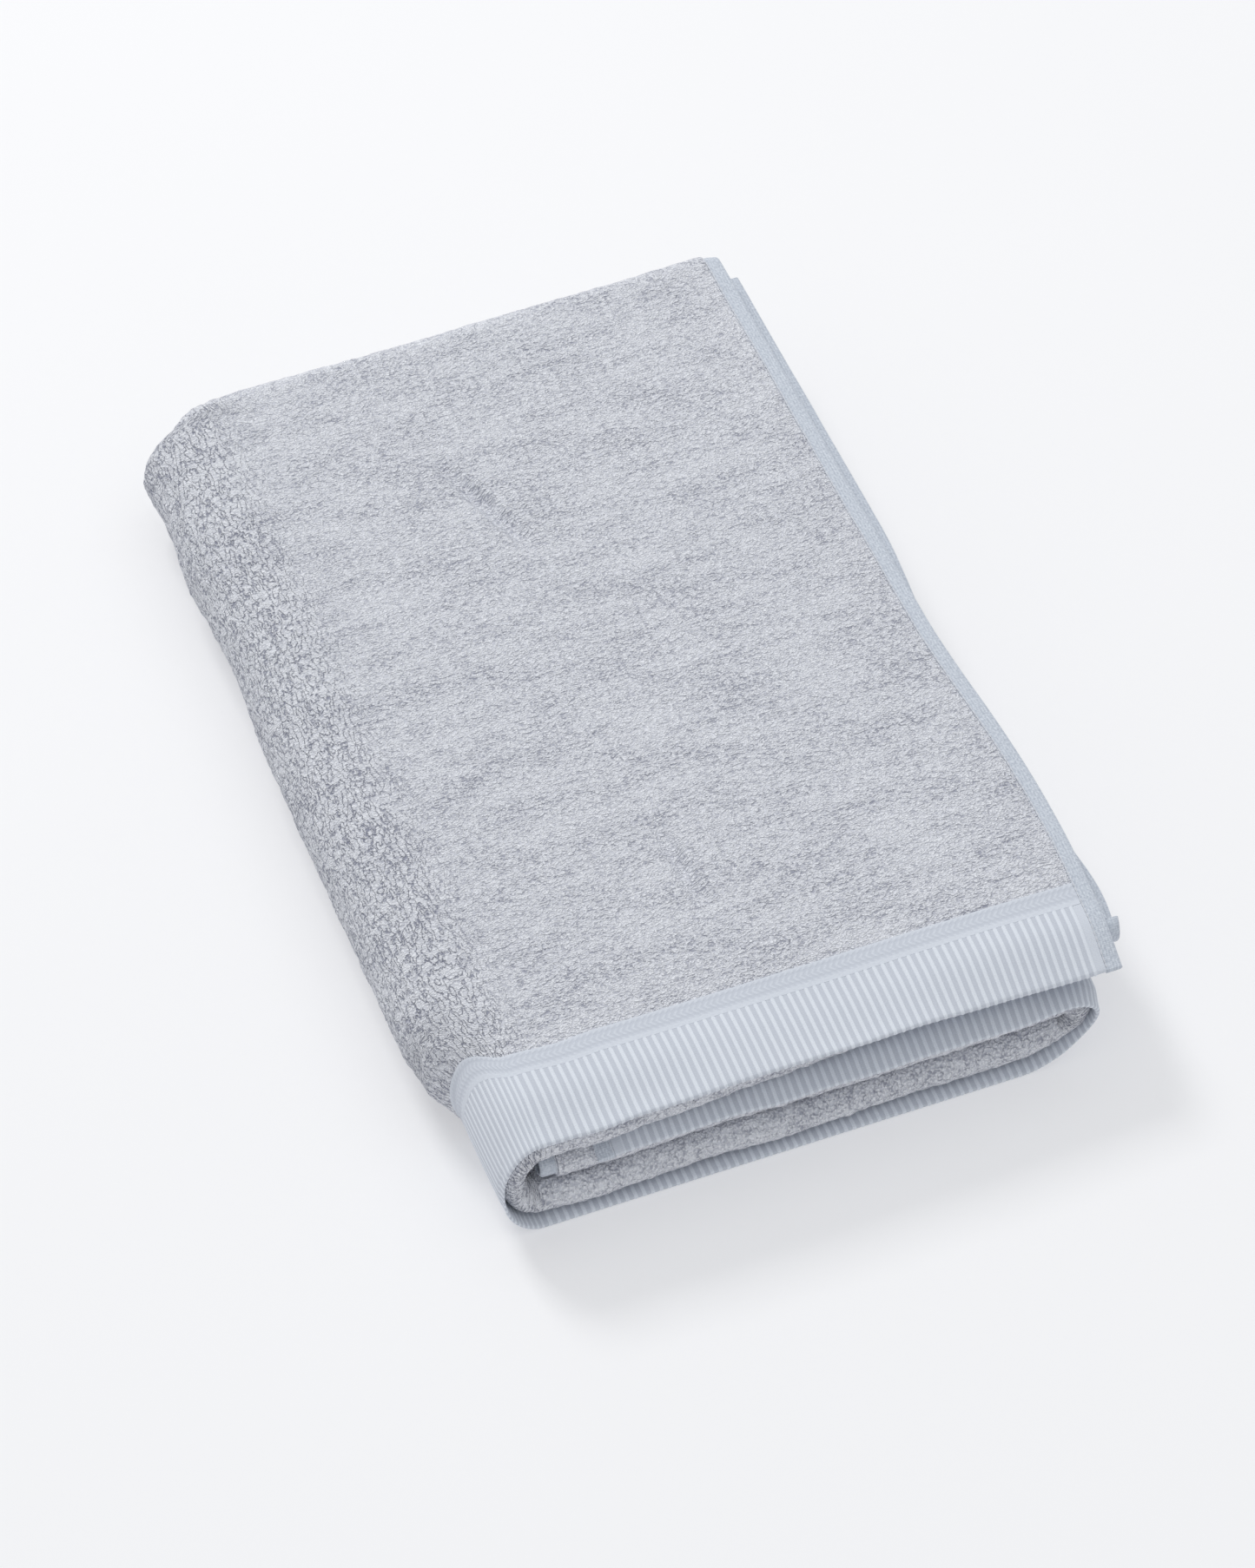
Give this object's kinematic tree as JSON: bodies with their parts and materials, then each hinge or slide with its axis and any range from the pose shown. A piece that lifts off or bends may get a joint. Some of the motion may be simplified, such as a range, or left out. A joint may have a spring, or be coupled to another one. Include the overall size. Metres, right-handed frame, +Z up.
{
  "type": "folded bath towel",
  "caption": "Terry bath towel with ribbed end borders and plain side hems, folded flat in thirds both ways; the top leaf opens out.",
  "frame": {"origin": "middle of the underside of the folded towel", "axes": "+X across the fold towards the open side hem, +Y along the fold from the ribbed border to the back fold, +Z up"},
  "size_m": [0.33, 0.512, 0.07],
  "materials": {
    "terry": "matte",
    "flat_band": "matte",
    "striped_border": "matte",
    "side_hem": "matte",
    "seam_thread": "satin"
  },
  "bodies": {
    "folded_stack": {"left_wrap_striped_border": "striped_border", "left_wrap_flat_band": "flat_band", "left_wrap_terry_outer": "terry", "left_wrap_back_fold": "terry", "left_wrap_terry_under": "terry", "left_wrap_front_fold": "terry", "left_wrap_terry_middle": "terry", "left_wrap_hidden_border": "striped_border", "bottom_striped_border": "striped_border", "bottom_flat_band": "flat_band", "bottom_terry_outer": "terry", "bottom_back_fold": "terry", "bottom_terry_under": "terry", "bottom_front_fold": "terry", "bottom_terry_middle": "terry", "bottom_hidden_border": "striped_border", "right_wrap_striped_border": "striped_border", "right_wrap_flat_band": "flat_band", "right_wrap_terry_outer": "terry", "right_wrap_back_fold": "terry", "right_wrap_terry_under": "terry", "right_wrap_front_fold": "terry", "right_wrap_terry_middle": "terry", "right_wrap_hidden_border": "striped_border", "inner_striped_border": "striped_border", "inner_flat_band": "flat_band", "inner_terry_outer": "terry", "inner_back_fold": "terry", "inner_terry_under": "terry", "inner_front_fold": "terry", "inner_terry_middle": "terry", "inner_hidden_border": "striped_border", "inner_side_hem_outer": "side_hem", "inner_seam_thread_outer": "seam_thread", "inner_side_hem_under": "side_hem", "inner_seam_thread_under": "seam_thread", "inner_side_hem_middle": "side_hem", "inner_seam_thread_middle": "seam_thread"},
    "top_leaf": {"top_striped_border": "striped_border", "top_flat_band": "flat_band", "top_terry_outer": "terry", "top_back_fold": "terry", "top_terry_under": "terry", "top_front_fold": "terry", "top_terry_middle": "terry", "top_hidden_border": "striped_border", "top_side_hem_outer": "side_hem", "top_seam_thread_outer": "seam_thread", "top_side_hem_under": "side_hem", "top_seam_thread_under": "seam_thread", "top_side_hem_middle": "side_hem", "top_seam_thread_middle": "seam_thread"}
  },
  "joints": [
    {"name": "top_leaf_open", "type": "hinge", "parent": "folded_stack", "child": "top_leaf", "pos_m": [-0.151, 0, 0.035], "axis": [0, -1, 0], "range_deg": [0, 179.8], "deforming": ["left_wrap_striped_border", "left_wrap_flat_band", "left_wrap_terry_outer", "left_wrap_back_fold", "left_wrap_terry_under", "left_wrap_front_fold", "left_wrap_terry_middle", "left_wrap_hidden_border"]}
  ]
}
